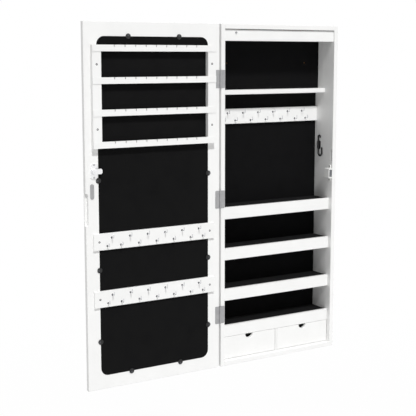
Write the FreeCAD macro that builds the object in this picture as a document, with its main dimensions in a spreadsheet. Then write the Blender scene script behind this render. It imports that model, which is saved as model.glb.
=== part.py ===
"""Wall-hung mirror cabinet for jewellery, standing open: case, mirror door, two drawers.

Millimetres. X runs to the right, Y into the wall and Z up. The origin is the middle of the case's back,
on the wall. The door is drawn swung open by half a turn, so that it lies beside the case.
"""
import FreeCAD, Part
import math
import operator
import os
import types

import Sketcher

SIZES = {
    # case
    "case_wide": 375.0,  # outer width of the case, and of the door
    "case_high": 900.0,  # outer height of the case, and of the door
    "case_deep": 85.5,  # from the wall to the case's front edges
    "board": 12.0,  # thickness of the case's outer boards
    "edge_bevel": 0.8,  # bevel along the boards' front edges
    "back_thick": 3.0,  # back panel
    "back_rebate": 6.0,  # how far the back panel reaches into the outer boards
    "lining": 1.5,  # black flannelette on card
    "hanging_thick": 10.0,  # board behind the upper compartment that carries the weight
    "hanger_spacing": 254.0,  # between the two wall screws
    "hanger_drop": 100.0,  # from the case's top to the wall screws
    "hanger_hole": 2.75,  # radius of the holes for the wall screws
    # light box under the top board
    "valance_drop": 2.0,  # shadow gap between the top board and the valance
    "valance_high": 28.4,
    "valance_thick": 9.0,
    "valance_recess": 4.3,  # behind the case's front
    "light_long": 240.0,
    "light_radius": 8.0,  # half-round diffuser, outside
    "light_wall": 1.0,
    "light_recess": 24.0,  # from the case's front to the diffuser's middle
    "strip_wide": 12.0,  # circuit strip that carries the diodes
    "strip_thick": 1.6,
    "diode_long": 5.0,
    "diode_high": 1.2,
    "diode_pitch": 24.0,
    "battery_wide": 62.0,
    "battery_deep": 33.0,
    "battery_high": 17.0,
    "battery_round": 3.0,
    "battery_recess": 35.0,  # from the case's front to the battery box
    "button_inset": 47.0,  # light button, from the case's left side
    "button_level": 21.0,  # light button, below the case's top
    "button_radius": 2.5,
    "button_collar": 4.0,  # radius of the collar behind the valance
    "button_collar_thick": 1.6,
    "button_proud": 2.5,
    "running_fit": 0.06,  # radial clearance of pins and plungers
    "body_gap": 0.3,  # between faces that move past each other
    # upper compartment
    "shelf_thick": 12.0,
    "upper_shelf_drop": 169.6,  # from the case's top to the upper shelf's top face
    "upper_shelf_recess": 40.0,
    "case_strip_drop": 220.7,  # from the case's top to the top of the case's hook strip
    "case_strip_high": 40.3,
    "case_strip_thick": 7.0,
    # lined shelves with a rail in front
    "rail_recess": 13.4,  # rails and drawer fronts, behind the case's front
    "rail_high": 31.4,
    "rail_thick": 9.0,
    "rail_lip": 1.0,  # how far a rail stands above the lining behind it
    "shelf_board": 9.0,
    "shelf_level_a": 424.5,  # top of each rail, above the case's underside
    "shelf_level_b": 314.5,
    "shelf_level_c": 204.5,
    "shelf_level_d": 105.0,
    # drawers
    "divider": 5.0,  # upright board between the drawers
    "drawer_gap": 0.8,  # round each drawer front
    "drawer_side": 6.0,
    "drawer_floor": 3.0,
    "drawer_high": 44.0,  # drawer box
    "drawer_rear_gap": 2.0,
    "notch_radius": 12.0,  # half-round finger notch
    # door
    "door_thick": 12.0,
    "door_gap": 5.7,  # between the case's side and the door's edge when the door is open
    "close_gap": 2.5,  # between the case's front and the door when it is shut
    "border": 34.0,  # width of the door frame as seen from the inside
    "lip_wide": 5.0,  # how much of the mirror's edge the frame's front lip covers
    "lip_thick": 5.0,
    "rebate_round": 20.0,
    "pane_fit": 0.3,  # round the mirror and its backing
    "mirror_thick": 3.0,
    "pull_low": 412.0,  # finger pull in the door's free edge, above the door's underside
    "pull_long": 80.0,
    "pull_wide": 6.5,
    "pull_deep": 8.0,
    "pull_round": 5.0,
    "clip_radius": 6.5,  # round turn clips that hold the backing
    "clip_thick": 2.0,
    "clip_offset": 3.0,  # from the clip's middle out to its screw
    "clip_level_a": 521.5,  # side clips, above the door's underside
    "clip_level_b": 301.0,
    "clip_level_c": 121.3,
    "clip_spread": 70.0,  # top and bottom clips, each side of the door's middle
    # earring rack and hook strips on the door
    "rack_wide": 340.0,
    "rack_top_drop": 54.5,  # from the door's top to the rack's top
    "rack_pitch": 76.7,
    "rack_rail_high": 15.6,
    "rack_rail_thick": 7.5,
    "rack_side_wide": 23.0,
    "rack_side_thick": 12.0,
    "rack_notch": 6.0,  # how deep the rails are let into the side boards
    "rack_screw_inset": 46.0,  # rack screws, from the side boards' ends
    "ear_slot_wide": 2.5,
    "ear_slot_deep": 5.5,
    "ear_slot_pitch": 28.2,
    "door_strip_high": 41.3,
    "door_strip_thick": 5.5,
    "door_strip_drop_a": 507.6,  # from the door's top to the top of each strip
    "door_strip_drop_b": 650.3,
    "strip_screw_inset": 14.5,
    # necklace hooks
    "hook_reach": 11.0,
    "hook_rise": 8.5,
    "hook_wire": 1.1,  # radius
    "hook_bend": 3.0,
    "hook_flange": 2.6,  # radius
    "hook_flange_thick": 1.0,
    "hook_pitch": 49.0,
    "hook_row_a": 12.0,  # each row of hooks, below its strip's top
    "hook_row_b": 32.0,
    "hook_end": 134.5,  # last hook of the lower row, from the strip's middle
    # hinges
    "hinge_high": 46.0,
    "knuckle": 2.5,  # radius
    "pin": 1.2,  # radius
    "leaf_thick": 1.0,
    "leaf_door": 12.0,
    "leaf_case": 10.4,
    "leaf_round": 2.0,
    "hinge_level_a": 761.0,  # middle of each hinge, above the case's underside
    "hinge_level_b": 450.0,
    "hinge_level_c": 142.0,
    "hinge_screw": 14.0,  # above and below each hinge's middle
    # screws
    "screw_head": 2.6,  # radius
    "screw_sink": 1.4,  # height of the conical head
    "screw_shank": 1.2,  # radius
    "screw_long": 8.0,
    "rack_screw_long": 18.0,
    "screw_proud": 0.05,
    # lock, strike plate and magnetic catch
    "lock_inset": 22.8,  # lock, strike plate: from the door's free edge
    "lock_level": 545.0,  # above the door's underside
    "lock_barrel": 7.5,  # radius
    "lock_flange": 11.0,  # radius
    "lock_flange_thick": 1.5,
    "lock_plate_wide": 18.0,
    "lock_plate_high": 38.0,
    "lock_plate_thick": 1.6,
    "lock_plate_round": 4.0,
    "lock_screw_gap": 15.5,  # above and below the lock's axis
    "lock_proud": 7.4,  # barrel's end, inside the door
    "plug_radius": 5.0,
    "key_wide": 6.4,
    "key_thick": 1.4,
    "plug_tail": 2.4,  # radius of the stud that carries the cam
    "cam_reach": 18.0,
    "cam_high": 13.0,
    "cam_thick": 2.2,
    "cam_round": 3.0,
    "cam_nut": 4.0,  # radius of the nut that holds the cam
    "cam_nut_thick": 1.6,
    "cam_clear": 1.5,  # round the cam in the slot of the case's side
    "strike_inset": 17.0,
    "strike_level": 495.8,
    "strike_wide": 10.0,
    "strike_high": 37.0,
    "strike_thick": 1.2,
    "catch_proud": 11.0,  # from the case's inner side
    "catch_high": 27.0,
    "catch_deep": 22.0,
    "catch_recess": 0.3,  # behind the case's front
    "catch_screw_gap": 18.5,
    "catch_screw_recess": 10.5,
    "ear_wide": 9.0,
    "ear_thick": 2.5,
    "magnet_high": 20.0,
    "magnet_deep": 12.0,
    "magnet_wide": 7.6,
    "pole_thick": 1.4,
    "pole_long": 2.0,
    # black wire hook on the case's right side
    "coat_level": 571.0,  # middle of the hook, above the case's underside
    "coat_recess": 60.4,  # its stem, behind the case's front
    "coat_wire": 2.2,  # radius
    "coat_stem": 22.0,  # half the length of the straight stem
    "coat_top_bend": 4.5,
    "coat_low_bend": 8.0,
    "coat_low_rise": 14.0,
    "coat_plate_high": 24.0,
    "coat_plate_wide": 13.0,
    "coat_plate_thick": 1.6,
}


class Size:
    """A length that carries its value and the formula that ties it to the sheet."""

    def __init__(self, value, formula):
        self.value = float(value)
        self.formula = formula

    def __float__(self):
        return self.value

    def __neg__(self):
        return joined(0, "-", self)

    def __add__(self, other):
        return joined(self, "+", other)

    def __radd__(self, other):
        return joined(other, "+", self)

    def __sub__(self, other):
        return joined(self, "-", other)

    def __rsub__(self, other):
        return joined(other, "-", self)

    def __mul__(self, other):
        return joined(self, "*", other)

    def __rmul__(self, other):
        return joined(other, "*", self)

    def __truediv__(self, other):
        return joined(self, "/", other)


OPERATIONS = {"+": operator.add, "-": operator.sub, "*": operator.mul, "/": operator.truediv}


def root(size):
    """The square root of a size."""
    return Size(math.sqrt(float(size)), f"sqrt({formula(size)})")


def formula(size):
    """The text that gives a size, or a plain number, in the document."""
    return size.formula if isinstance(size, Size) else repr(float(size))


def joined(first, sign, second):
    """The size that two sizes or numbers give together."""
    value = OPERATIONS[sign](float(first), float(second))
    return Size(value, f"({formula(first)} {sign} {formula(second)})")


doc = FreeCAD.newDocument("MirrorCabinet")
sheet = doc.addObject("Spreadsheet::Sheet", "Sizes")
for row, (alias, number) in enumerate(SIZES.items(), 1):
    sheet.set(f"A{row}", alias)
    sheet.set(f"B{row}", str(number))
    sheet.setAlias(f"B{row}", alias)
doc.recompute()
S = types.SimpleNamespace(**{alias: Size(number, f"Sizes.{alias}") for alias, number in SIZES.items()})

# Places that many pieces share.
LEFT, RIGHT = -S.case_wide / 2, S.case_wide / 2
BOTTOM, TOP = -S.case_high / 2, S.case_high / 2
FRONT = -S.case_deep
INNER_LEFT, INNER_RIGHT = LEFT + S.board, RIGHT - S.board
INNER_BOTTOM, INNER_TOP = BOTTOM + S.board, TOP - S.board
INNER_WIDE = S.case_wide - 2 * S.board
LOWER_BACK = -(S.back_thick + S.lining)  # face of the lower lining
UPPER_BACK = LOWER_BACK - S.hanging_thick  # face of the upper lining
UPPER_SHELF = TOP - S.upper_shelf_drop
RAIL_FRONT = FRONT + S.rail_recess
DOOR_LEFT, DOOR_RIGHT = LEFT - S.door_gap - S.case_wide, LEFT - S.door_gap
DOOR_BACK = FRONT + S.door_thick  # the door's mirror side while it is open
PIN_X, PIN_Y = LEFT - S.door_gap / 2, FRONT - S.close_gap / 2
RACK_LEFT = DOOR_LEFT + (S.case_wide - S.rack_wide) / 2
RACK_TOP = TOP - S.rack_top_drop
RACK_HIGH = 3 * S.rack_pitch + S.rack_rail_high
SHELF_LEVELS = {"a": S.shelf_level_a, "b": S.shelf_level_b, "c": S.shelf_level_c, "d": S.shelf_level_d}
HINGE_LEVELS = (S.hinge_level_a, S.hinge_level_b, S.hinge_level_c)
PARTS = []  # every object that becomes a part of its own

X, Y, Z = 0, 1, 2


# ---------------------------------------------------------------- drawing helpers


def bind(thing, prop, size):
    """Ties a property to a size."""
    thing.setExpression(prop, formula(size))


def place(thing, at):
    """Ties an object's place to three sizes."""
    for axis, size in zip("xyz", at):
        bind(thing, f".Placement.Base.{axis}", size)


def new_body(label, at=(0, 0, 0), part=True):
    """An empty body with its own place."""
    body = doc.addObject("PartDesign::Body", label)
    body.Label = label
    place(body, at)
    if part:
        PARTS.append(body)
    return body


def new_sketch(body, plane, lift=0):
    """A sketch on one of the body's own planes, lifted along the plane's normal."""
    role = plane + "_Plane"
    support = next(item for item in body.Origin.OriginFeatures if item.Role == role)
    drawing = body.newObject("Sketcher::SketchObject", f"{body.Label}_{plane}")
    drawing.AttachmentSupport = [(support, "")]
    drawing.MapMode = "FlatFace"
    bind(drawing, ".AttachmentOffset.Base.z", lift)
    return drawing


def pin_point(drawing, element, point, across, up):
    """Ties one point of a drawing to its distances from the origin."""
    for kind, size in (("DistanceX", across), ("DistanceY", up)):
        rule = Sketcher.Constraint(kind, -1, 1, element, point, float(size))
        bind(drawing, f"Constraints[{drawing.addConstraint(rule)}]", size)


def add_outline(drawing, corners):
    """A closed outline of straight lines through the corners."""
    first, count = drawing.GeometryCount, len(corners)
    points = [FreeCAD.Vector(float(across), float(up), 0) for across, up in corners]
    for start, end in zip(points, points[1:] + points[:1]):
        drawing.addGeometry(Part.LineSegment(start, end), False)
    for number, (across, up) in enumerate(corners):
        before = first + (number - 1) % count
        drawing.addConstraint(Sketcher.Constraint("Coincident", before, 2, first + number, 1))
        pin_point(drawing, first + number, 1, across, up)


def add_rectangle(drawing, low, high):
    """A rectangle between two opposite corners."""
    add_outline(drawing, [low, (high[0], low[1]), high, (low[0], high[1])])


def add_circle(drawing, centre, radius):
    """A circle round a centre."""
    middle = FreeCAD.Vector(float(centre[0]), float(centre[1]), 0)
    element = drawing.addGeometry(Part.Circle(middle, FreeCAD.Vector(0, 0, 1), float(radius)), False)
    pin_point(drawing, element, 3, *centre)
    rule = Sketcher.Constraint("Radius", element, float(radius))
    bind(drawing, f"Constraints[{drawing.addConstraint(rule)}]", radius)


def pad(body, drawing, length):
    """Raises a drawing along its plane's normal."""
    feature = body.newObject("PartDesign::Pad", f"{body.Label}_pad")
    feature.Profile = drawing
    bind(feature, "Length", length)
    return feature


def pocket(body, drawing, depth=None):
    """Sinks a drawing against its plane's normal, right through where no depth is given."""
    feature = body.newObject("PartDesign::Pocket", f"{body.Label}_pocket")
    feature.Profile = drawing
    if depth is None:
        feature.Type = "ThroughAll"
    else:
        bind(feature, "Length", depth)
    return feature


def repeat(body, feature, drawing, pitch, count):
    """Repeats a feature along the drawing's first axis."""
    pattern = body.newObject("PartDesign::LinearPattern", f"{body.Label}_pattern")
    pattern.Originals = [feature]
    pattern.Direction = (drawing, ["H_Axis"])
    bind(pattern, "Length", pitch * (count - 1))
    pattern.Occurrences = count
    body.Tip = pattern


def revolve(body, drawing):
    """Turns a drawing once round its upright axis."""
    feature = body.newObject("PartDesign::Revolution", f"{body.Label}_turned")
    feature.Profile = drawing
    feature.ReferenceAxis = (drawing, ["V_Axis"])
    feature.Angle = 360


def in_plane(axis, height):
    """A test for edges that lie in one plane across an axis."""
    return lambda edge: all(abs(v.Point[axis] - float(height)) < 0.001 for v in edge.Vertexes)


def runs_along(axis):
    """A test for straight edges parallel to an axis."""

    def test(edge):
        way = edge.Vertexes[-1].Point - edge.Vertexes[0].Point
        return way.Length > 0.001 and abs(abs(way[axis]) - way.Length) < 0.001

    return test


def is_straight(edge):
    """Whether an edge runs straight between two corners."""
    return len(edge.Vertexes) == 2 and edge.Curve.TypeId == "Part::GeomLine"


def all_of(*tests):
    """A test that passes where each of the tests passes."""
    return lambda edge: all(test(edge) for test in tests)


def soften(body, kind, size, test):
    """Rounds (Fillet) or bevels (Chamfer) the edges that pass the test."""
    doc.recompute()
    base = body.Tip
    names = [f"Edge{number}" for number, edge in enumerate(base.Shape.Edges, 1) if test(edge)]
    feature = body.newObject(f"PartDesign::{kind}", f"{body.Label}_{kind.lower()}")
    feature.Base = (base, names)
    bind(feature, "Radius" if kind == "Fillet" else "Size", size)


def slab(label, low, high):
    """A plain sheet or board between two opposite corners."""
    box = doc.addObject("Part::Box", label)
    box.Label = label
    for prop, near, far in zip(("Length", "Width", "Height"), low, high):
        bind(box, prop, far - near)
    place(box, low)
    PARTS.append(box)
    return box


def upright_board(label, at, wide, high, thick, bevel=None):
    """A board seen from the front: its low left back corner stands at `at`, and it grows towards -Y."""
    body = new_body(label, at)
    drawing = new_sketch(body, "XZ")
    add_rectangle(drawing, (0, 0), (wide, high))
    pad(body, drawing, thick)
    if bevel is not None:
        soften(body, "Chamfer", bevel, in_plane(Y, -thick))
    return body


def scatter(label, *kinds):
    """One part that is a group of small solids, given as pairs of a shape and its placements."""
    group = doc.addObject("Part::Feature", label)
    group.Label = label
    copies = []
    for shape, placements in kinds:
        for placement in placements:
            copies.append(shape.copy())
            copies[-1].Placement = placement
    group.Shape = Part.makeCompound(copies)
    PARTS.append(group)


def facing(direction, *points, side=(0, 0, 1)):
    """Placements that turn a piece's +Z along a direction and its +X towards one side."""
    across, out = FreeCAD.Vector(*side), FreeCAD.Vector(*direction)
    turn = FreeCAD.Rotation(across, FreeCAD.Vector(), out, "ZXY")
    return [FreeCAD.Placement(FreeCAD.Vector(*map(float, point)), turn) for point in points]


def ring_points(sides, radius, height):
    """The corners of a regular polygon round +Z."""
    turns = [2 * math.pi * k / sides for k in range(sides)]
    return [FreeCAD.Vector(float(radius) * math.cos(a), float(radius) * math.sin(a), float(height)) for a in turns]


def faceted(sides, *rings):
    """A solid of flat faces round +Z through rings that are each given as (radius, height), lowest first."""
    corners = [ring_points(sides, radius, height) for radius, height in rings]
    outlines = [corners[0], corners[-1]]
    for low, high in zip(corners, corners[1:]):
        outlines += [[low[k - 1], low[k], high[k], high[k - 1]] for k in range(sides)]
    shell = Part.makeShell([Part.Face(Part.makePolygon(outline + outline[:1])) for outline in outlines])
    shell.sewShape()
    return Part.makeSolid(shell)


# ---------------------------------------------------------------- case


def make_case_boards():
    """The four outer boards, rebated at the back, with the lock's slot in the right-hand one."""
    step = S.case_deep - S.back_thick
    for label, x, way in (("case_left_side", LEFT, 1), ("case_right_side", RIGHT, -1)):
        body = new_body(label, (x, FRONT, BOTTOM))
        drawing = new_sketch(body, "XY")
        inner, rebated = way * S.board, way * (S.board - S.back_rebate)
        corners = [(0, 0), (inner, 0), (inner, step), (rebated, step), (rebated, S.case_deep), (0, S.case_deep)]
        add_outline(drawing, corners)
        pad(body, drawing, S.case_high)
        if label == "case_right_side":
            cut_lock_slot(body)
        soften(body, "Chamfer", S.edge_bevel, in_plane(Y, 0))
    for label, z, way in (("case_bottom", BOTTOM, 1), ("case_top", TOP, -1)):
        body = new_body(label, (INNER_LEFT, FRONT, z))
        drawing = new_sketch(body, "YZ")
        inner, rebated = way * S.board, way * (S.board - S.back_rebate)
        corners = [(0, 0), (S.case_deep, 0), (S.case_deep, rebated), (step, rebated), (step, inner), (0, inner)]
        add_outline(drawing, corners)
        pad(body, drawing, INNER_WIDE)
        soften(body, "Chamfer", S.edge_bevel, all_of(in_plane(Y, 0), runs_along(X)))


def cut_lock_slot(body):
    """The blind slot that the lock's cam turns into, as long as the cam's swing asks for."""
    reach = S.cam_reach + S.cam_clear
    inside = S.lock_inset - S.board  # from the lock's axis to the wall's inner face
    swing = root(reach * reach - inside * inside)
    near = S.lock_proud + S.body_gap - S.close_gap - S.cam_clear
    far = near + S.cam_thick + 2 * S.cam_clear
    drawing = new_sketch(body, "YZ", -S.board)
    add_rectangle(drawing, (near, S.lock_level - swing), (far, S.lock_level + swing))
    pocket(body, drawing, reach - inside).Reversed = True


def drilled_panel(label, at, wide, high, thick, hole_up):
    """An upright panel with the two holes for the wall screws."""
    body = upright_board(label, at, wide, high, thick)
    drawing = new_sketch(body, "XZ", thick)
    for way in (-1, 1):
        add_circle(drawing, (wide / 2 + way * S.hanger_spacing / 2, hole_up), S.hanger_hole)
    pocket(body, drawing)


def make_back():
    """The back panel, the hanging board and the two linings, one behind the other."""
    hole = TOP - S.hanger_drop
    low_x, low_z = INNER_LEFT - S.back_rebate, INNER_BOTTOM - S.back_rebate
    high = S.case_high - 2 * (S.board - S.back_rebate)
    drilled_panel("back_panel", (low_x, 0, low_z), INNER_WIDE + 2 * S.back_rebate, high, S.back_thick,
                  hole - low_z)
    upper_high = INNER_TOP - UPPER_SHELF
    drilled_panel("hanging_board", (INNER_LEFT, -S.back_thick, UPPER_SHELF), INNER_WIDE, upper_high,
                  S.hanging_thick, hole - UPPER_SHELF)
    drilled_panel("upper_lining", (INNER_LEFT, UPPER_BACK + S.lining, UPPER_SHELF), INNER_WIDE, upper_high,
                  S.lining, hole - UPPER_SHELF)
    slab("lower_lining", (INNER_LEFT, LOWER_BACK, INNER_BOTTOM), (INNER_RIGHT, -S.back_thick, UPPER_SHELF))


def make_light_box():
    """The valance with its push button, and the lamp and battery box that it hides."""
    low = INNER_TOP - S.valance_drop - S.valance_high
    back = FRONT + S.valance_recess + S.valance_thick
    valance = upright_board("valance", (INNER_LEFT, back, low), INNER_WIDE, S.valance_high, S.valance_thick,
                            S.edge_bevel)
    bore = new_sketch(valance, "XZ", S.valance_thick)
    button_z = TOP - S.button_level
    add_circle(bore, (S.button_inset - S.board, button_z - low), S.button_radius + S.running_fit)
    pocket(valance, bore)

    button = new_body("light_button", (LEFT + S.button_inset, back, button_z))
    stem = S.valance_thick + S.button_proud
    inner_end = S.running_fit + S.button_collar_thick
    cap = new_sketch(button, "XZ", -inner_end)
    add_circle(cap, (0, 0), S.button_radius)
    pad(button, cap, inner_end + stem)
    collar = new_sketch(button, "XZ", -inner_end)
    add_circle(collar, (0, 0), S.button_collar)
    pad(button, collar, S.button_collar_thick)

    mid_y = FRONT + S.light_recess
    strip = new_body("led_strip", (-S.light_long / 2 + 2 * S.light_wall, mid_y, INNER_TOP))
    strip_long = S.light_long - 4 * S.light_wall
    board = new_sketch(strip, "XY", -S.strip_thick)
    add_rectangle(board, (0, -S.strip_wide / 2), (strip_long, S.strip_wide / 2))
    pad(strip, board, S.strip_thick)
    count = max(2, int(float(strip_long - 2 * S.diode_pitch) / float(S.diode_pitch)) + 2)
    chip = new_sketch(strip, "XY", -S.strip_thick - S.diode_high)
    start = (strip_long - S.diode_pitch * (count - 1)) / 2
    half = S.diode_long / 2
    add_rectangle(chip, (start - half, -half), (start + half, half))
    repeat(strip, pad(strip, chip, S.diode_high), chip, S.diode_pitch, count)

    tube = new_body("led_diffuser", (-S.light_long / 2, mid_y, INNER_TOP))
    outside = new_sketch(tube, "YZ")
    add_circle(outside, (0, 0), S.light_radius)
    pad(tube, outside, S.light_long)
    inside = new_sketch(tube, "YZ", S.light_long - S.light_wall)
    add_circle(inside, (0, 0), S.light_radius - S.light_wall)
    pocket(tube, inside, S.light_long - 2 * S.light_wall)
    upper_half = new_sketch(tube, "YZ", S.light_long)
    add_rectangle(upper_half, (-2 * S.light_radius, 0), (2 * S.light_radius, 2 * S.light_radius))
    pocket(tube, upper_half)

    box = new_body("battery_box", (LEFT + S.button_inset - S.battery_wide / 2, FRONT + S.battery_recess,
                                   INNER_TOP - S.battery_high))
    floor = new_sketch(box, "XY")
    add_rectangle(floor, (0, 0), (S.battery_wide, S.battery_deep))
    pad(box, floor, S.battery_high)
    soften(box, "Fillet", S.battery_round, runs_along(Z))


def make_shelves():
    """The upper shelf and four lined shelves, each with a rail along its front."""
    shelf = new_body("upper_shelf", (INNER_LEFT, FRONT + S.upper_shelf_recess, UPPER_SHELF - S.shelf_thick))
    section = new_sketch(shelf, "YZ")
    deep = S.case_deep + LOWER_BACK - S.upper_shelf_recess
    add_rectangle(section, (0, 0), (deep, S.shelf_thick))
    pad(shelf, section, INNER_WIDE)
    soften(shelf, "Fillet", 2 * S.edge_bevel, all_of(in_plane(Y, 0), runs_along(X)))
    back = RAIL_FRONT + S.rail_thick
    for letter, level in SHELF_LEVELS.items():
        top = BOTTOM + level - S.rail_lip
        rail_low = BOTTOM + level - S.rail_high
        upright_board(f"shelf_rail_{letter}", (INNER_LEFT, back, rail_low), INNER_WIDE, S.rail_high,
                      S.rail_thick, S.edge_bevel)
        slab(f"shelf_{letter}", (INNER_LEFT, back, top - S.lining - S.shelf_board),
             (INNER_RIGHT, LOWER_BACK, top - S.lining))
    lining = Part.makeBox(float(INNER_WIDE), float(LOWER_BACK - back), float(S.lining))
    corners = [(INNER_LEFT, back, BOTTOM + level - S.rail_lip - S.lining) for level in SHELF_LEVELS.values()]
    scatter("shelf_linings", (lining, facing((0, 0, 1), *corners, side=(1, 0, 0))))


def make_drawers():
    """Two drawers side by side under the lowest shelf, parted by an upright board."""
    shelf_under = BOTTOM + S.shelf_level_d - S.rail_lip - S.lining - S.shelf_board
    rail_under = BOTTOM + S.shelf_level_d - S.rail_high
    rail_back = RAIL_FRONT + S.rail_thick
    divider = new_body("drawer_divider", (-S.divider / 2, RAIL_FRONT, INNER_BOTTOM))
    side = new_sketch(divider, "YZ")
    deep = LOWER_BACK - RAIL_FRONT
    low, high = rail_under - INNER_BOTTOM, shelf_under - INNER_BOTTOM
    add_outline(side, [(0, 0), (deep, 0), (deep, high), (S.rail_thick, high), (S.rail_thick, low), (0, low)])
    pad(divider, side, S.divider)
    bay = (INNER_WIDE - S.divider) / 2
    front_wide = bay - 2 * S.drawer_gap
    front_high = rail_under - INNER_BOTTOM - 2 * S.drawer_gap
    box_deep = LOWER_BACK - rail_back - S.drawer_rear_gap
    for label, bay_left in (("left", INNER_LEFT), ("right", S.divider / 2)):
        x = bay_left + S.drawer_gap
        front = upright_board(f"drawer_{label}_front", (x, rail_back, INNER_BOTTOM + S.drawer_gap), front_wide,
                              front_high, S.rail_thick)
        notch = new_sketch(front, "XZ", S.rail_thick)
        add_circle(notch, (front_wide / 2, front_high), S.notch_radius)
        pocket(front, notch)
        soften(front, "Chamfer", S.edge_bevel, in_plane(Y, -S.rail_thick))
        box = new_body(f"drawer_{label}_box", (x, rail_back, INNER_BOTTOM + S.body_gap))
        floor = new_sketch(box, "XY")
        add_rectangle(floor, (0, 0), (front_wide, box_deep))
        pad(box, floor, S.drawer_high)
        hollow = new_sketch(box, "XY", S.drawer_high)
        add_rectangle(hollow, (S.drawer_side, S.drawer_side), (front_wide - S.drawer_side, box_deep - S.drawer_side))
        pocket(box, hollow, S.drawer_high - S.drawer_floor)
        dip = new_sketch(box, "XZ")
        add_circle(dip, (front_wide / 2, front_high + S.drawer_gap - S.body_gap), S.notch_radius)
        pocket(box, dip, S.drawer_side)
        low_z = INNER_BOTTOM + S.body_gap + S.drawer_floor
        slab(f"drawer_{label}_lining", (x + S.drawer_side, rail_back + S.drawer_side, low_z),
             (x + front_wide - S.drawer_side, rail_back + box_deep - S.drawer_side, low_z + S.lining))


def make_catch():
    """The magnetic catch on the case's right side: a housing with two ears, and a magnet between two poles."""
    level = BOTTOM + S.strike_level
    housing = new_body("catch_housing", (INNER_RIGHT - S.catch_proud, FRONT + S.catch_recess, level))
    block = new_sketch(housing, "YZ")
    half = S.catch_high / 2
    add_rectangle(block, (0, -half), (S.catch_deep, half))
    pad(housing, block, S.catch_proud)
    soften(housing, "Chamfer", 2 * S.edge_bevel, all_of(in_plane(X, 0)))
    ears = new_sketch(housing, "YZ", S.catch_proud - S.ear_thick)
    ear_near = S.catch_screw_recess - S.catch_recess - S.ear_wide / 2
    ear_end = S.catch_screw_gap + S.ear_wide / 2
    add_rectangle(ears, (ear_near, -ear_end), (ear_near + S.ear_wide, ear_end))
    pad(housing, ears, S.ear_thick)
    soften(housing, "Fillet", S.ear_wide / 2 - 0.3, lambda edge: runs_along(X)(edge)
           and abs(abs(edge.Vertexes[0].Point.z) - float(ear_end)) < 0.001)
    cavity = new_sketch(housing, "XZ")
    mid_x = S.catch_proud / 2
    wide, tall = S.magnet_wide / 2 + 0.1, S.magnet_high / 2 + 0.1
    add_rectangle(cavity, (mid_x - wide, -tall), (mid_x + wide, tall))
    pocket(housing, cavity, S.magnet_deep)

    tip = FRONT - S.close_gap + S.strike_thick + S.body_gap
    magnet = new_body("catch_magnet", (INNER_RIGHT - S.catch_proud / 2, tip, level - S.magnet_high / 2))
    section = new_sketch(magnet, "XY")
    side, pole = S.magnet_wide / 2, S.magnet_wide / 2 - S.pole_thick
    rear = FRONT + S.catch_recess + S.magnet_deep - tip - 0.1
    add_outline(section, [(-side, 0), (-pole, 0), (-pole, S.pole_long), (pole, S.pole_long), (pole, 0),
                          (side, 0), (side, rear), (-side, rear)])
    pad(magnet, section, S.magnet_high)


def bend_points(centre, radius, first, last, steps):
    """Points round a bend, given as (forward, up), from one angle to another in degrees."""
    turns = [math.radians(first + (last - first) * k / steps) for k in range(steps + 1)]
    return [(centre[0] + radius * math.cos(a), centre[1] + radius * math.sin(a)) for a in turns]


def make_coat_hook():
    """A black wire hook: curled forward at its top, turned up at its foot, on a plate with round ends."""
    wire, plate_thick = float(S.coat_wire), float(S.coat_plate_thick)
    x = float(INNER_RIGHT) - plate_thick - wire
    y, z = float(FRONT + S.coat_recess), float(BOTTOM + S.coat_level)
    stem, top_bend, low_bend = float(S.coat_stem), float(S.coat_top_bend), float(S.coat_low_bend)
    route = bend_points((top_bend, stem), top_bend, 0, 180, 6)
    route += bend_points((low_bend, -stem), low_bend, 180, 360, 8)
    route.append((2 * low_bend, float(S.coat_low_rise) - stem))
    path = Part.makePolygon([FreeCAD.Vector(x, y - forward, z + up) for forward, up in route])
    start, ahead = path.Edges[0].Vertexes
    way = ahead.Point - start.Point
    corners = ring_points(10, wire, 0)
    ring = Part.makePolygon(corners + corners[:1])
    ring.Placement = FreeCAD.Placement(start.Point, FreeCAD.Rotation(FreeCAD.Vector(0, 0, 1), way))
    rod = Part.Wire(path.Edges).makePipeShell([ring], True, False, 1)
    wide, high = float(S.coat_plate_wide), float(S.coat_plate_high)
    corner = FreeCAD.Vector(x, y - wide / 2, z - high / 2)
    plate = Part.makeBox(plate_thick + wire, wide, high, corner)
    ends = [edge for edge in plate.Edges if runs_along(X)(edge)]
    hook = doc.addObject("Part::Feature", "wall_hook")
    hook.Shape = rod.fuse(plate.makeChamfer(wide / 4, ends)).removeSplitter()
    PARTS.append(hook)


# ---------------------------------------------------------------- hinges and screws


def leaf_shape(side, way, width, own_knuckles):
    """A hinge leaf round an upright pin: a plate with rolled knuckles, to the right (1) or left (-1)."""
    body = new_body(f"{side}_leaf_pattern", part=False)
    seat = S.close_gap / 2  # both leaves lie on faces this far behind the pin
    barrel = new_sketch(body, "XY")
    add_circle(barrel, (0, 0), S.knuckle)
    pad(body, barrel, S.hinge_high)
    plate = new_sketch(body, "XY")
    reach = S.door_gap / 2 + width
    add_rectangle(plate, (0, seat - S.leaf_thick), (way * reach, seat))
    pad(body, plate, S.hinge_high)
    soften(body, "Fillet", S.leaf_round, all_of(in_plane(X, way * reach), runs_along(Y)))
    bore = new_sketch(body, "XY", S.hinge_high)
    add_circle(bore, (0, 0), S.pin + S.running_fit)
    pocket(body, bore)
    third = S.hinge_high / 3
    clear = S.door_gap / 2 - 0.05
    for number in range(3):
        if number not in own_knuckles:
            low = third * number - S.body_gap / 2
            gap = new_sketch(body, "XY", low + third + S.body_gap)
            add_rectangle(gap, (-clear, -clear), (clear, clear))
            pocket(body, gap, third + S.body_gap)
    doc.recompute()
    return body.Shape.copy()


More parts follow.
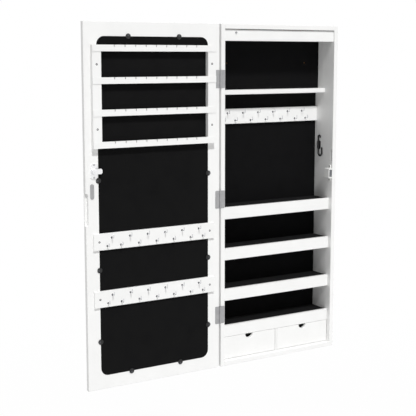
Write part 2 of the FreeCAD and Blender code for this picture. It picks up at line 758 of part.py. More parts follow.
def make_hinges():
    """Three butt hinges: a leaf on the case, a leaf on the door and a pin."""
    feet = [(PIN_X, PIN_Y, BOTTOM + level - S.hinge_high / 2) for level in HINGE_LEVELS]
    for side, shape in (("case", leaf_shape("case", 1, S.leaf_case, (0, 2))),
                        ("door", leaf_shape("door", -1, S.leaf_door, (1,)))):
        scatter(f"hinge_{side}_leaves", (shape, facing((0, 0, 1), *feet, side=(1, 0, 0))))
    pin = Part.makeCylinder(float(S.pin), float(S.hinge_high))
    scatter("hinge_pins", (pin, facing((0, 0, 1), *feet, side=(1, 0, 0))))


def screw_shape(long):
    """A countersunk screw along +Z whose head stands a hair above the surface at zero."""
    return faceted(6, (S.screw_shank, S.screw_proud - long),
                   (S.screw_shank, S.screw_proud - S.screw_sink), (S.screw_head, S.screw_proud))


def clip_spots():
    """Each clip's middle, as X and Z, and the way from it to its screw."""
    left, right = DOOR_LEFT + S.border, DOOR_RIGHT - S.border
    middle = DOOR_LEFT + S.case_wide / 2
    low, high = BOTTOM + S.border, TOP - S.border
    spots = []
    for level in (S.clip_level_a, S.clip_level_b, S.clip_level_c):
        spots += [(left, BOTTOM + level, -1, 0), (right, BOTTOM + level, 1, 0)]
    for way in (-1, 1):
        spots += [(middle + way * S.clip_spread, low, 0, -1), (middle + way * S.clip_spread, high, 0, 1)]
    return spots


def make_screws():
    """Screws of the hinges, catch, rack, hook strips, mirror clips, lock and strike plate."""
    screw = screw_shape(S.screw_long)
    leaf_face = FRONT - S.leaf_thick
    hinge_ups = [BOTTOM + level + way * S.hinge_screw for level in HINGE_LEVELS for way in (-1, 1)]
    case_screws = facing((0, -1, 0), *[(LEFT + S.leaf_case / 2, leaf_face, z) for z in hinge_ups])
    strike_z = BOTTOM + S.strike_level
    catch_y = FRONT + S.catch_screw_recess
    for way in (-1, 1):
        case_screws += facing((-1, 0, 0), (INNER_RIGHT - S.ear_thick, catch_y, strike_z + way * S.catch_screw_gap))
    scatter("case_screws", (screw, case_screws))

    points = [(DOOR_RIGHT - S.leaf_door / 2, leaf_face, z) for z in hinge_ups]
    strip_ends = (RACK_LEFT + S.strip_screw_inset, RACK_LEFT + S.rack_wide - S.strip_screw_inset)
    strip_ups = [TOP - drop - S.door_strip_high / 2 for drop in (S.door_strip_drop_a, S.door_strip_drop_b)]
    points += [(x, FRONT - S.door_strip_thick, z) for x in strip_ends for z in strip_ups]
    points += [(x + across * S.clip_offset, FRONT - S.clip_thick, z + up * S.clip_offset)
               for x, z, across, up in clip_spots()]
    lock_x, lock_z = DOOR_LEFT + S.lock_inset, BOTTOM + S.lock_level
    strike_gap = (S.strike_high - S.strike_wide) / 2
    for way in (-1, 1):
        points.append((lock_x, FRONT - S.lock_plate_thick, lock_z + way * S.lock_screw_gap))
        points.append((DOOR_LEFT + S.strike_inset, FRONT - S.strike_thick, strike_z + way * strike_gap))
    rack_ups = (RACK_TOP - S.rack_screw_inset, RACK_TOP - RACK_HIGH + S.rack_screw_inset)
    side_middles = (RACK_LEFT + S.rack_side_wide / 2, RACK_LEFT + S.rack_wide - S.rack_side_wide / 2)
    rack_points = [(x, FRONT - S.rack_side_thick, z) for x in side_middles for z in rack_ups]
    scatter("door_screws", (screw, facing((0, -1, 0), *points)),
            (screw_shape(S.rack_screw_long), facing((0, -1, 0), *rack_points)))


# ---------------------------------------------------------------- door


def make_door_frame():
    """The routed frame: a window with a lip in front, a rebate behind it, a finger pull and the lock's hole."""
    wide, high, thick = S.case_wide, S.case_high, S.door_thick
    body = new_body("door_frame", (DOOR_LEFT, DOOR_BACK, BOTTOM))
    blank = new_sketch(body, "XZ")
    add_rectangle(blank, (0, 0), (wide, high))
    pad(body, blank, thick)
    soften(body, "Chamfer", S.edge_bevel, lambda edge: in_plane(Y, 0)(edge) or in_plane(Y, -thick)(edge))
    inset = S.border + S.lip_wide
    window = new_sketch(body, "XZ", thick)
    add_rectangle(window, (inset, inset), (wide - inset, high - inset))
    pocket(body, window)
    corner = lambda edge: runs_along(Y)(edge) and edge.Length > float(S.lip_thick) / 2
    inside = lambda edge: float(S.border) / 2 < edge.Vertexes[0].Point.x < float(wide - S.border / 2)
    soften(body, "Fillet", S.rebate_round - S.lip_wide, all_of(corner, inside))
    rebate = new_sketch(body, "XZ", thick)
    add_rectangle(rebate, (S.border, S.border), (wide - S.border, high - S.border))
    pocket(body, rebate, thick - S.lip_thick)
    at_border = lambda edge: abs(abs(edge.Vertexes[0].Point.x - float(wide / 2)) - float(wide / 2 - S.border)) < 0.01
    soften(body, "Fillet", S.rebate_round, all_of(corner, at_border))
    pull = new_sketch(body, "XZ", thick)
    add_rectangle(pull, (-5, S.pull_low), (S.pull_wide, S.pull_low + S.pull_long))
    pocket(body, pull, S.pull_deep)
    soften(body, "Fillet", S.pull_round, all_of(runs_along(Y), in_plane(X, S.pull_wide)))
    barrel = new_sketch(body, "XZ", thick)
    add_circle(barrel, (S.lock_inset, S.lock_level), S.lock_barrel + S.running_fit)
    pocket(body, barrel)


def pane(label, y, thick):
    """A sheet with round corners that lies in the door's rebate."""
    inset = S.border + S.pane_fit
    body = upright_board(label, (DOOR_LEFT + inset, y, BOTTOM + inset), S.case_wide - 2 * inset,
                         S.case_high - 2 * inset, thick)
    soften(body, "Fillet", S.rebate_round - S.pane_fit, runs_along(Y))


def make_panes():
    """The mirror against the frame's lip, and the backing that lies flush with the door's inner face."""
    pane("mirror_glass", DOOR_BACK - S.lip_thick, S.mirror_thick)
    backing_y = DOOR_BACK - S.lip_thick - S.mirror_thick
    pane("door_backing", backing_y, backing_y - FRONT)


def make_clips():
    """Round turn clips along the rebate's edge, each held by a screw in the frame."""
    disc = faceted(14, (S.clip_radius, 0), (S.clip_radius, S.clip_thick / 2),
                   (S.clip_radius - S.clip_thick / 2, S.clip_thick))
    clips = []
    for x, z, across, up in clip_spots():
        clips += facing((0, -1, 0), (x, FRONT, z), side=(across, 0, up))
    scatter("mirror_clips", (disc, clips))


def make_rack():
    """The earring rack: two side boards, and four slotted rails let into them."""
    rail_back = FRONT - S.rack_side_thick + S.rack_notch
    low = RACK_TOP - RACK_HIGH
    for label, x in (("left", RACK_LEFT), ("right", RACK_LEFT + S.rack_wide - S.rack_side_wide)):
        side = upright_board(f"rack_{label}_side", (x, FRONT, low), S.rack_side_wide, RACK_HIGH,
                             S.rack_side_thick)
        for number in range(4):
            housing = new_sketch(side, "XZ", S.rack_side_thick)
            foot = number * S.rack_pitch
            add_rectangle(housing, (-1, foot), (S.rack_side_wide + 1, foot + S.rack_rail_high))
            pocket(side, housing, S.rack_notch)
    for number in range(4):
        rail = upright_board(f"rack_rail_{'abcd'[number]}",
                             (RACK_LEFT, rail_back, RACK_TOP - number * S.rack_pitch - S.rack_rail_high),
                             S.rack_wide, S.rack_rail_high, S.rack_rail_thick)
        count = 9
        first = S.rack_wide / 2 - (count - 1) * S.ear_slot_pitch / 2
        slot = new_sketch(rail, "XZ", S.rack_rail_thick)
        half = S.ear_slot_wide / 2
        add_rectangle(slot, (first - half, S.rack_rail_high - S.ear_slot_deep), (first + half, S.rack_rail_high + 1))
        repeat(rail, pocket(rail, slot), slot, S.ear_slot_pitch, count)


def hook_shape():
    """A wire hook along +Z from a small flange, with its free end turned up along +Y, in flat facets."""
    bend, reach, foot = float(S.hook_bend), float(S.hook_reach), float(S.hook_flange_thick) / 2
    turns = [(0, foot), (0, reach - bend), (bend, reach), (float(S.hook_rise), reach)]
    path = Part.makePolygon([FreeCAD.Vector(0, up, out) for up, out in turns])
    ring = ring_points(4, S.hook_wire, foot)
    wire = Part.Wire(path.Edges).makePipeShell([Part.makePolygon(ring + ring[:1])], True, False, 1)
    flange = faceted(6, (S.hook_flange, 0), (S.hook_flange, S.hook_flange_thick))
    return flange.fuse(wire).removeSplitter()


def hook_placements(middle, face, top):
    """Where the hooks of one strip stand: six in the upper row, and seven between and beyond them below."""
    upper = [(k + 0.5) * S.hook_pitch for k in (-3, -2, -1, 0, 1, 2)]
    lower = [k * S.hook_pitch for k in (-2, -1, 0, 1, 2)] + [-S.hook_end, S.hook_end]
    points = [(middle + x, face, top - S.hook_row_a) for x in upper]
    points += [(middle + x, face, top - S.hook_row_b) for x in lower]
    turn = FreeCAD.Rotation(FreeCAD.Vector(1, 0, 0), 90)
    return [FreeCAD.Placement(FreeCAD.Vector(*map(float, point)), turn) for point in points]


def make_hook_strips():
    """One hook strip in the case and two on the door, with their hooks."""
    hook = hook_shape()
    face = LOWER_BACK - S.case_strip_thick
    top = TOP - S.case_strip_drop
    upright_board("case_hook_strip", (INNER_LEFT, LOWER_BACK, top - S.case_strip_high), INNER_WIDE,
                  S.case_strip_high, S.case_strip_thick, S.edge_bevel)
    scatter("case_hooks", (hook, hook_placements(0, face, top)))
    middle = DOOR_LEFT + S.case_wide / 2
    for name, drop in (("upper", S.door_strip_drop_a), ("lower", S.door_strip_drop_b)):
        top = TOP - drop
        upright_board(f"door_{name}_strip", (RACK_LEFT, FRONT, top - S.door_strip_high), S.rack_wide,
                      S.door_strip_high, S.door_strip_thick, S.edge_bevel)
        scatter(f"door_{name}_hooks", (hook, hook_placements(middle, FRONT - S.door_strip_thick, top)))


def make_lock():
    """The cam lock: flanged barrel, cover plate inside the door, key plug and cam."""
    x, z = DOOR_LEFT + S.lock_inset, BOTTOM + S.lock_level
    barrel = new_body("lock_barrel", (x, DOOR_BACK, z))
    flange = new_sketch(barrel, "XZ", -S.lock_flange_thick)
    add_circle(flange, (0, 0), S.lock_flange)
    pad(barrel, flange, S.lock_flange_thick)
    tube = new_sketch(barrel, "XZ")
    add_circle(tube, (0, 0), S.lock_barrel)
    pad(barrel, tube, S.door_thick + S.lock_proud)
    bore = new_sketch(barrel, "XZ", S.door_thick + S.lock_proud)
    add_circle(bore, (0, 0), S.plug_radius + S.running_fit)
    pocket(barrel, bore)

    half_wide, half_high = S.lock_plate_wide / 2, S.lock_plate_high / 2
    plate = upright_board("lock_plate", (x - half_wide, FRONT, z - half_high), S.lock_plate_wide,
                          S.lock_plate_high, S.lock_plate_thick)
    hole = new_sketch(plate, "XZ", S.lock_plate_thick)
    add_circle(hole, (half_wide, half_high), S.lock_barrel + S.running_fit)
    pocket(plate, hole)
    soften(plate, "Chamfer", S.lock_plate_round, all_of(runs_along(Y), is_straight))

    plug = new_body("lock_plug", (x, DOOR_BACK + S.lock_flange_thick, z))
    long = S.lock_flange_thick + S.door_thick + S.lock_proud + S.body_gap
    core = new_sketch(plug, "XZ")
    add_circle(core, (0, 0), S.plug_radius)
    pad(plug, core, long)
    tail = new_sketch(plug, "XZ")
    add_circle(tail, (0, 0), S.plug_tail)
    pad(plug, tail, long + S.cam_thick)
    keyway = new_sketch(plug, "XZ")
    add_rectangle(keyway, (-S.key_thick / 2, -S.key_wide / 2), (S.key_thick / 2, S.key_wide / 2))
    pocket(plug, keyway, S.door_thick).Reversed = True

    cam_y = FRONT - S.lock_proud - S.body_gap
    cam = new_body("lock_cam", (x, cam_y, z))
    outline = new_sketch(cam, "XZ")
    half = S.cam_high / 2
    add_rectangle(outline, (-half, -half), (S.cam_reach, half))
    pad(cam, outline, S.cam_thick)
    seat = new_sketch(cam, "XZ", S.cam_thick)
    add_circle(seat, (0, 0), S.plug_tail)
    pocket(cam, seat)
    soften(cam, "Chamfer", S.cam_round, runs_along(Y))

    nut = new_body("cam_nut", (x, cam_y - S.cam_thick, z))
    sides = new_sketch(nut, "XZ")
    across, rise = S.cam_nut / 2, S.cam_nut * root(3) / 2
    add_outline(sides, [(S.cam_nut, 0), (across, rise), (-across, rise), (-S.cam_nut, 0), (-across, -rise),
                        (across, -rise)])
    pad(nut, sides, S.cam_nut_thick)

    strike = upright_board("strike_plate", (DOOR_LEFT + S.strike_inset - S.strike_wide / 2, FRONT,
                                            BOTTOM + S.strike_level - S.strike_high / 2),
                           S.strike_wide, S.strike_high, S.strike_thick)
    soften(strike, "Fillet", S.strike_wide / 2 - 0.1, runs_along(Y))


def write_parts():
    """Checks every object, then writes each part to its own file."""
    doc.recompute()
    for thing in doc.Objects:
        if "Invalid" in thing.State or "Error" in thing.State:
            raise RuntimeError(f"{thing.Label} failed: {thing.State}")
    os.makedirs("parts", exist_ok=True)
    for part in PARTS:
        shape = part.Shape
        if shape.isNull() or not shape.isValid() or not shape.Solids:
            raise RuntimeError(f"{part.Label} has no sound solid")
        shape.exportStep(f"parts/{part.Label}.step")
        print(f"{part.Label}: {len(shape.Solids)} solid(s), {shape.Volume / 1000:.1f} cm3")
    print(f"{len(PARTS)} parts")


make_case_boards()
make_back()
make_light_box()
make_shelves()
make_drawers()
make_catch()
make_coat_hook()
make_hinges()
make_door_frame()
make_panes()
make_clips()
make_rack()
make_hook_strips()
make_lock()
make_screws()
write_parts()
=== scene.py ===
"""Dresses the wall-hung mirror cabinet for jewellery, standing open, for a plain studio picture.

Metres. X runs to the right, Y into the wall and Z up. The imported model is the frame: its solids keep
their places and get their finishes here. Screws, hooks, clips and the wall hook are made finer.
"""
import logging
import math
from dataclasses import dataclass, field
from enum import Enum
from typing import Any, Iterable, Sequence

import bmesh
import bpy
from mathutils import Euler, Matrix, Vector


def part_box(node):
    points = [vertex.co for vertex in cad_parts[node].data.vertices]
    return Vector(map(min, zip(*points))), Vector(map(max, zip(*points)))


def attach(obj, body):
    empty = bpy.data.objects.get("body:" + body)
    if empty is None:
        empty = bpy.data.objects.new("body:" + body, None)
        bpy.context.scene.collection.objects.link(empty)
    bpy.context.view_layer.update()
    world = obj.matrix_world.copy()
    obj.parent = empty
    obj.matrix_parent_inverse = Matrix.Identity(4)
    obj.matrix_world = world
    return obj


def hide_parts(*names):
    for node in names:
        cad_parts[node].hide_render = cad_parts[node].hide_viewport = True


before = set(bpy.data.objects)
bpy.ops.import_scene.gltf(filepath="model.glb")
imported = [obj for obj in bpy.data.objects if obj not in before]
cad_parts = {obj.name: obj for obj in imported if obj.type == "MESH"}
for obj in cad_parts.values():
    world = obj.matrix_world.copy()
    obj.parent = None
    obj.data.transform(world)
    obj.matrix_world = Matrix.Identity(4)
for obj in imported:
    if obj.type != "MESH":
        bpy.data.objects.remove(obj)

LOG = logging.getLogger("mirror cabinet")
MM = 0.001
# How far a brushed surface's grain is squeezed along the height, which draws it out into scratches.
BRUSH_SQUEEZE = 0.03


# ---------------------------------------------------------------- helpers


def linear(code: str) -> tuple[float, float, float, float]:
    """Turns an sRGB hex code into a linear colour.

    Args:
        code: six hex digits after a hash sign.

    Returns:
        Red, green, blue and a full alpha.
    """
    parts = [int(code[k:k + 2], 16) / 255 for k in (1, 3, 5)]
    red, green, blue = (c / 12.92 if c <= 0.04045 else ((c + 0.055) / 1.055) ** 2.4 for c in parts)
    return red, green, blue, 1.0


def add_node(tree: bpy.types.NodeTree, kind: str, inputs: dict[str | int, Any] | None = None,
             **settings: Any) -> bpy.types.Node:
    """Adds a node, with its settings, its values and its links.

    Args:
        tree: the node tree that the node joins.
        kind: the node's type.
        inputs: for each input, by name or number, a plain value or the socket that feeds it.
        settings: the node's own properties.

    Returns:
        The new node.
    """
    node = tree.nodes.new(kind)
    for name, value in settings.items():
        setattr(node, name, value)
    for key, value in (inputs or {}).items():
        if isinstance(value, bpy.types.NodeSocket):
            tree.links.new(value, node.inputs[key])
        else:
            node.inputs[key].default_value = value
    return node


def dress(finish: bpy.types.Material, *nodes: str) -> None:
    """Gives carried-over solids one finish throughout.

    Args:
        finish: the material.
        nodes: names of the solids.
    """
    for name in nodes:
        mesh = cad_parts[name].data
        mesh.materials.clear()
        mesh.materials.append(finish)
        mesh.polygons.foreach_set("material_index", [0] * len(mesh.polygons))
        LOG.info("%s dressed in %s", name, finish.name)


def loose_boxes(node: str) -> list[tuple[Vector, Vector]]:
    """Finds the separate solids of one node.

    Args:
        node: name of the node.

    Returns:
        The lowest and highest corner of each solid.
    """
    shell = bmesh.new()
    shell.from_mesh(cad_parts[node].data)
    bmesh.ops.remove_doubles(shell, verts=shell.verts, dist=1e-6)
    left, boxes = set(shell.verts), []
    while left:
        group, edge = [], [left.pop()]
        while edge:
            corner = edge.pop()
            group.append(corner.co.copy())
            for line in corner.link_edges:
                other = line.other_vert(corner)
                if other in left:
                    left.remove(other)
                    edge.append(other)
        low = Vector([min(point[axis] for point in group) for axis in range(3)])
        high = Vector([max(point[axis] for point in group) for axis in range(3)])
        boxes.append((low, high))
    shell.free()
    return sorted(boxes, key=lambda pair: tuple(pair[0]))


def new_object(name: str, mesh: bpy.types.Mesh) -> bpy.types.Object:
    """Links a mesh into the scene as an object at the origin."""
    thing = bpy.data.objects.new(name, mesh)
    bpy.context.scene.collection.objects.link(thing)
    return thing


def settle(thing: bpy.types.Object, name: str) -> bpy.types.Object:
    """Turns an object, with its modifiers or its curve, into a plain mesh object.

    Args:
        thing: the object, which is removed.
        name: name of the new object.

    Returns:
        The plain object at the origin.
    """
    bpy.context.view_layer.update()
    mesh = bpy.data.meshes.new_from_object(thing.evaluated_get(bpy.context.evaluated_depsgraph_get()))
    bpy.data.objects.remove(thing)
    mesh.name = name
    return new_object(name, mesh)


def smooth(thing: bpy.types.Object, angle: float = 40.0) -> None:
    """Shades a mesh smoothly, but keeps edges sharper than the angle, in degrees, crisp."""
    thing.data.shade_smooth()
    thing.data.set_sharp_from_angle(angle=math.radians(angle))


def stand_in(thing: bpy.types.Object, node: str, body: str) -> None:
    """Lets a finer piece take a node's place and ride on the node's body.

    Args:
        thing: the finer piece, in place.
        node: the node that it stands for.
        body: the body that it rides on.
    """
    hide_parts(node)
    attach(thing, body)
    LOG.info("%s takes the place of %s on %s", thing.name, node, body)


# ---------------------------------------------------------------- finishes


class Pattern(Enum):
    """How the fine relief of a surface runs."""

    PEEL = "even, like the skin of sprayed lacquer or moulded plastic"
    FIBRE = "short fibres that lie in all directions"
    BRUSHED = "long scratches along the height"


@dataclass(frozen=True)
class Finish:
    """A material by what it is and how its surface was made.

    The relief's grain is in millimetres. `stray` is the darker colour of its uneven places, and
    `patch` the size of those places in millimetres.
    """

    name: str
    colour: str
    stray: str
    roughness: float
    roughness_stray: float
    grain: float
    relief: float
    patch: float
    pattern: Pattern = Pattern.PEEL
    metallic: float = 0.0
    specular: float = 0.5
    sheen: float = 0.0
    sheen_roughness: float = 0.5
    subsurface: float = 0.0

    def build(self) -> bpy.types.Material:
        """Builds the material.

        Returns:
            The material, with a colour, roughness and relief of its own.
        """
        material = bpy.data.materials.new(self.name)
        material.use_nodes = True
        tree = material.node_tree
        tree.nodes.clear()
        place = add_node(tree, "ShaderNodeTexCoord").outputs["Object"]
        relief = self.relief_height(tree, place)
        patches = add_node(tree, "ShaderNodeTexNoise",
                           {"Vector": place, "Scale": 1 / (self.patch * MM), "Detail": 3.0,
                            "Roughness": 0.55})
        uneven = add_node(tree, "ShaderNodeMapRange",
                          {"Value": patches.outputs[0], "From Min": 0.35, "From Max": 0.75})
        tint = self.tint(tree, place, relief, uneven.outputs[0])
        dull = add_node(tree, "ShaderNodeMapRange",
                        {"Value": relief, "To Min": self.roughness - self.roughness_stray,
                         "To Max": self.roughness + self.roughness_stray})
        bump = add_node(tree, "ShaderNodeBump",
                        {"Height": relief, "Distance": self.relief * MM, "Strength": 1.0})
        shader = add_node(tree, "ShaderNodeBsdfPrincipled",
                          {"Base Color": tint, "Roughness": dull.outputs[0], "Normal": bump.outputs[0],
                           "Metallic": self.metallic, "Specular IOR Level": self.specular,
                           "Sheen Weight": self.sheen, "Sheen Roughness": self.sheen_roughness,
                           "Subsurface Weight": self.subsurface})
        if self.subsurface:
            shader.inputs["Subsurface Scale"].default_value = 2 * MM
        add_node(tree, "ShaderNodeOutputMaterial", {"Surface": shader.outputs[0]})
        return material

    def relief_height(self, tree: bpy.types.NodeTree, place: bpy.types.NodeSocket) -> bpy.types.NodeSocket:
        """Lays out the relief.

        Args:
            tree: the material's node tree.
            place: the position on the piece, in metres.

        Returns:
            The relief's height, from 0 to 1.
        """
        scale = 1 / (self.grain * MM)
        if self.pattern is Pattern.BRUSHED:
            place = add_node(tree, "ShaderNodeMapping",
                             {"Vector": place, "Scale": (1.0, 1.0, BRUSH_SQUEEZE)}).outputs[0]
        detail = 6.0 if self.pattern is Pattern.FIBRE else 2.0
        twist = 1.5 if self.pattern is Pattern.FIBRE else 0.0
        return add_node(tree, "ShaderNodeTexNoise", {"Vector": place, "Scale": scale, "Detail": detail,
                                                     "Roughness": 0.6, "Distortion": twist}).outputs[0]

    def tint(self, tree: bpy.types.NodeTree, place: bpy.types.NodeSocket, relief: bpy.types.NodeSocket,
             uneven: bpy.types.NodeSocket) -> bpy.types.NodeSocket:
        """Mixes the colour with its darker, uneven places.

        Args:
            tree: the material's node tree.
            place: the position on the piece, in metres; not used here.
            relief: the relief's height; not used here.
            uneven: how far a place strays, from 0 to 1.

        Returns:
            The colour.
        """
        return add_node(tree, "ShaderNodeMixRGB", {"Fac": uneven, "Color1": linear(self.colour),
                                                   "Color2": linear(self.stray)}).outputs[0]


@dataclass(frozen=True)
class FibreFinish(Finish):
    """A surface of fibres, with painted shade in the hollows between the fibres."""

    def tint(self, tree: bpy.types.NodeTree, place: bpy.types.NodeSocket, relief: bpy.types.NodeSocket,
             uneven: bpy.types.NodeSocket) -> bpy.types.NodeSocket:
        """Paints shade into the hollows between the fibres, and darkens the uneven places.

        Args:
            tree: the material's node tree.
            place: the position on the piece, in metres.
            relief: the relief's height.
            uneven: how far a place strays, from 0 to 1.

        Returns:
            The colour.
        """
        # Painted shade: the low places of the relief are darkened, as if shade fell into them.
        painted_hollow_shade = add_node(tree, "ShaderNodeMapRange", {"Value": relief, "From Min": 0.6, "From Max": 0.35})
        both = add_node(tree, "ShaderNodeMath", {0: painted_hollow_shade.outputs[0], 1: uneven}, operation="MAXIMUM")
        return super().tint(tree, place, relief, both.outputs[0])


@dataclass(frozen=True)
class DiodeFinish(Finish):
    """A circuit strip with a white mask, whose diodes stand out below it in yellow phosphor."""

    phosphor: str = "#E3C84E"
    diode_top: float = 0.0

    def tint(self, tree: bpy.types.NodeTree, place: bpy.types.NodeSocket, relief: bpy.types.NodeSocket,
             uneven: bpy.types.NodeSocket) -> bpy.types.NodeSocket:
        """Colours what hangs below the strip as diodes.

        Args:
            tree: the material's node tree.
            place: the position on the piece, in metres.
            relief: the relief's height.
            uneven: how far a place strays, from 0 to 1.

        Returns:
            The colour.
        """
        board = super().tint(tree, place, relief, uneven)
        height = add_node(tree, "ShaderNodeSeparateXYZ", {"Vector": place}).outputs["Z"]
        below = add_node(tree, "ShaderNodeMath", {0: height, 1: self.diode_top}, operation="LESS_THAN")
        return add_node(tree, "ShaderNodeMixRGB", {"Fac": below.outputs[0], "Color1": board,
                                                   "Color2": linear(self.phosphor)}).outputs[0]


@dataclass
class Finishes:
    """Every finish of the cabinet."""

    # Spray-lacquered MDF: a satin white skin with a faint orange peel, which softens highlights. The
    # peel is about 1 mm wide in the real skin and is drawn at 3 mm, so that it shows at all.
    lacquer: Finish = Finish("white_lacquered_mdf", "#F6F6F5", "#F2F2F1", 0.36, 0.05, 3.0, 0.006, 60.0)
    # Flannelette on card: matt black with a soft light rim where its fibres stand up. The fibres are
    # 0.1 mm thick and are drawn as 1.2 mm tufts.
    flannelette: Finish = FibreFinish("black_flannelette", "#0F0F10", "#09090A", 0.95, 0.04, 1.2, 0.12, 35.0,
                                      Pattern.FIBRE, specular=0.08, sheen=0.015, sheen_roughness=0.6)
    # The door's backing is the linings' flannelette painted a shade lighter: painted light, because it lies
    # in full light.
    backing: Finish = FibreFinish("black_flannelette_painted_lighter", "#131313", "#0D0D0E", 0.95, 0.04, 1.2, 0.1, 45.0,
                                  Pattern.FIBRE, specular=0.08, sheen=0.015, sheen_roughness=0.6)
    # Hardboard, pressed: raw brown fibre with flecks, dull.
    hardboard: Finish = FibreFinish("raw_hardboard", "#9A7A58", "#7C5E41", 0.75, 0.08, 1.6, 0.08, 18.0,
                                    Pattern.FIBRE, specular=0.3)
    # Float glass, silvered behind: a clear, faintly green-grey image, with a slow ripple.
    mirror: Finish = Finish("silvered_mirror_glass", "#E9ECEB", "#E4E8E7", 0.015, 0.01, 80.0, 0.002, 120.0,
                            metallic=1.0)
    # Nickel-plated steel, brushed: grey with fine upright lines.
    nickel: Finish = Finish("brushed_nickel_steel", "#B0B0B1", "#A3A3A5", 0.42, 0.1, 0.8, 0.01, 12.0,
                            Pattern.BRUSHED, metallic=1.0)
    # Zinc-plated screws: dull blue-grey. The necklace hooks' flanges wear it too, as painted shade on their
    # steel.
    zinc: Finish = Finish("zinc_plated_screw", "#66676A", "#535458", 0.4, 0.1, 0.6, 0.01, 3.0, metallic=1.0)
    # Burnished screws with dark heads.
    burnished: Finish = Finish("burnished_screw", "#2B2B2D", "#202022", 0.45, 0.1, 0.6, 0.01, 3.0,
                               metallic=1.0)
    # Bright nickel wire of the necklace hooks.
    wire: Finish = Finish("bright_nickel_wire", "#DEDFE1", "#CFD0D3", 0.3, 0.06, 0.5, 0.005, 4.0,
                          metallic=1.0)
    # Chrome plate on die-cast zinc: the lock.
    chrome: Finish = Finish("chrome_plated_lock", "#F7F7F8", "#EFEFF1", 0.34, 0.06, 0.9, 0.004, 8.0,
                            metallic=1.0)
    # ABS, moulded: smooth black with a faint texture.
    black_plastic: Finish = Finish("moulded_black_abs", "#101011", "#0B0B0C", 0.38, 0.06, 0.8, 0.01, 6.0)
    # ABS, moulded, white: catch and battery box.
    white_plastic: Finish = Finish("moulded_white_abs", "#F1F1EF", "#EBEBE9", 0.42, 0.05, 0.8, 0.01, 10.0)
    # ABS, moulded, grey: the light's push button.
    grey_plastic: Finish = Finish("moulded_grey_abs", "#A6A7A9", "#9B9C9E", 0.45, 0.05, 0.6, 0.008, 4.0)
    # Ground steel poles and the magnet between them.
    ground_steel: Finish = Finish("ground_magnet_steel", "#96989B", "#84868A", 0.35, 0.1, 0.5, 0.01, 5.0,
                                  Pattern.BRUSHED, metallic=1.0)
    # Powder coat on wire: black, slightly pebbled.
    powder: Finish = Finish("black_powder_coat", "#0E0E0F", "#0A0A0B", 0.48, 0.06, 0.7, 0.03, 6.0)
    # Polycarbonate, opal: the lamp's cover, which glows softly when lit from behind.
    opal: Finish = Finish("opal_polycarbonate", "#F0F0EC", "#EAEAE5", 0.4, 0.04, 1.0, 0.004, 20.0,
                          subsurface=0.4)

    def build(self) -> dict[str, bpy.types.Material]:
        """Builds every finish.

        Returns:
            The materials, by the name of their field.
        """
        return {name: finish.build() for name, finish in vars(self).items()}


# ---------------------------------------------------------------- repeated fittings


